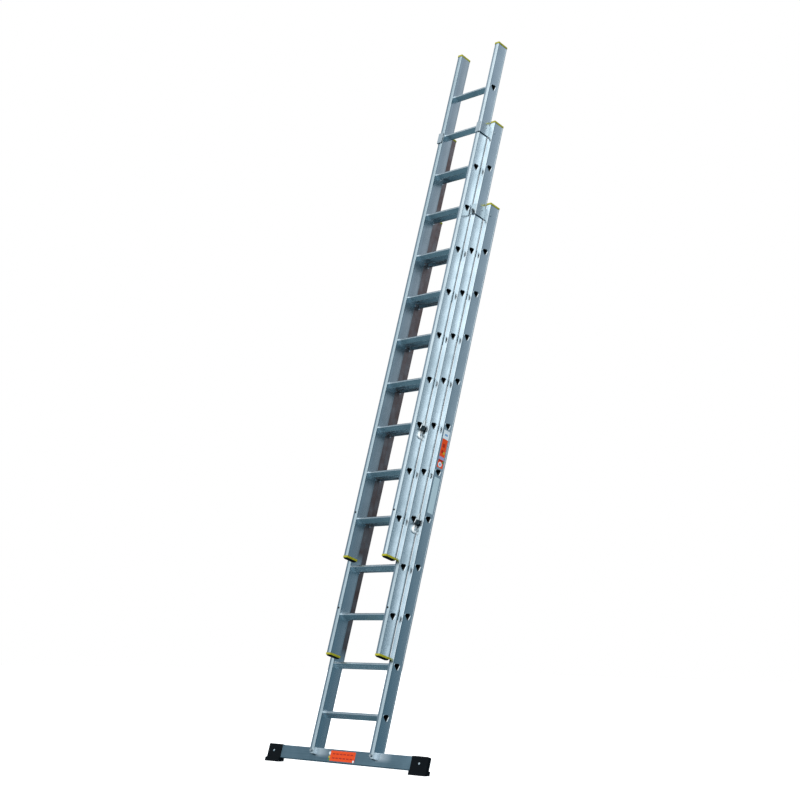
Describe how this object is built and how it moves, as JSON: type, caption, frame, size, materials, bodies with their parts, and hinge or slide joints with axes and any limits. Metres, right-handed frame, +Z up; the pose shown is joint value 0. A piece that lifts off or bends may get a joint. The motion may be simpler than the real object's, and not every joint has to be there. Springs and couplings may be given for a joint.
{
  "type": "extension ladder",
  "caption": "Aluminium extension ladder with nested sliding sections, rung hooks, guide brackets, end caps and a wide stabiliser bar on rubber feet, standing at its working lean.",
  "frame": {"origin": "on the floor, midway between the two feet and below the middle of the stabiliser bar", "axes": "+Z up, +X to the right of a climber who faces the ladder, +Y away from the climber towards the wall; the stiles lean 15 degrees from +Z towards +Y"},
  "size_m": [1.15, 0.9717, 3.9044],
  "materials": {
    "stile_aluminium": "satin",
    "rung_aluminium": "satin",
    "bar_aluminium": "satin",
    "cast_aluminium": "rough",
    "bracket_aluminium": "satin",
    "rivet_aluminium": "satin",
    "zinc_steel": "satin",
    "yellow_plastic": "matte",
    "guide_plastic": "matte",
    "foot_rubber": "matte"
  },
  "bodies": {
    "base": {"bar_bolts": "zinc_steel", "bar_nuts": "zinc_steel", "base_end_caps": "yellow_plastic", "base_guide_brackets": "bracket_aluminium", "base_rivets": "rivet_aluminium", "base_rung_01": "rung_aluminium", "base_rung_02": "rung_aluminium", "base_rung_03": "rung_aluminium", "base_rung_04": "rung_aluminium", "base_rung_05": "rung_aluminium", "base_rung_06": "rung_aluminium", "base_rung_07": "rung_aluminium", "base_rung_08": "rung_aluminium", "base_rung_09": "rung_aluminium", "base_rung_10": "rung_aluminium", "base_rung_11": "rung_aluminium", "base_stile_left": "stile_aluminium", "base_stile_right": "stile_aluminium", "rubber_feet": "foot_rubber", "stabiliser_bar": "bar_aluminium"},
    "middle": {"middle_end_caps": "yellow_plastic", "middle_guide_brackets": "bracket_aluminium", "middle_guide_shoes": "guide_plastic", "middle_hook_bolts": "zinc_steel", "middle_rivets": "rivet_aluminium", "middle_rung_01": "rung_aluminium", "middle_rung_02": "rung_aluminium", "middle_rung_03": "rung_aluminium", "middle_rung_04": "rung_aluminium", "middle_rung_05": "rung_aluminium", "middle_rung_06": "rung_aluminium", "middle_rung_07": "rung_aluminium", "middle_rung_08": "rung_aluminium", "middle_rung_09": "rung_aluminium", "middle_rung_10": "rung_aluminium", "middle_rung_11": "rung_aluminium", "middle_shoe_bolts": "zinc_steel", "middle_stile_left": "stile_aluminium", "middle_stile_right": "stile_aluminium"},
    "fly": {"fly_end_caps": "yellow_plastic", "fly_guide_shoes": "guide_plastic", "fly_hook_bolts": "zinc_steel", "fly_rung_01": "rung_aluminium", "fly_rung_02": "rung_aluminium", "fly_rung_03": "rung_aluminium", "fly_rung_04": "rung_aluminium", "fly_rung_05": "rung_aluminium", "fly_rung_06": "rung_aluminium", "fly_rung_07": "rung_aluminium", "fly_rung_08": "rung_aluminium", "fly_rung_09": "rung_aluminium", "fly_rung_10": "rung_aluminium", "fly_rung_11": "rung_aluminium", "fly_shoe_bolts": "zinc_steel", "fly_stile_left": "stile_aluminium", "fly_stile_right": "stile_aluminium"},
    "middle_hook_left": {"middle_hook_left": "cast_aluminium"},
    "middle_hook_right": {"middle_hook_right": "cast_aluminium"},
    "fly_hook_left": {"fly_hook_left": "cast_aluminium"},
    "fly_hook_right": {"fly_hook_right": "cast_aluminium"}
  },
  "joints": [
    {"name": "middle_section_slide", "type": "slide", "parent": "base", "child": "middle", "axis": [0, 0.2588, 0.9659], "range_m": [-0.5, 1.5]},
    {"name": "fly_section_slide", "type": "slide", "parent": "middle", "child": "fly", "axis": [0, 0.2588, 0.9659], "range_m": [-0.5, 1.5]},
    {"name": "middle_hook_left_pivot", "type": "hinge", "parent": "middle", "child": "middle_hook_left", "pos_m": [-0.19475, 0.24984, 1.15898], "axis": [1, 0, 0], "range_deg": [0, 35]},
    {"name": "middle_hook_right_pivot", "type": "hinge", "parent": "middle", "child": "middle_hook_right", "pos_m": [0.19475, 0.24984, 1.15898], "axis": [1, 0, 0], "range_deg": [0, 35]},
    {"name": "fly_hook_left_pivot", "type": "hinge", "parent": "fly", "child": "fly_hook_left", "pos_m": [-0.15825, 0.31351, 1.64194], "axis": [1, 0, 0], "range_deg": [0, 35]},
    {"name": "fly_hook_right_pivot", "type": "hinge", "parent": "fly", "child": "fly_hook_right", "pos_m": [0.15825, 0.31351, 1.64194], "axis": [1, 0, 0], "range_deg": [0, 35]}
  ]
}
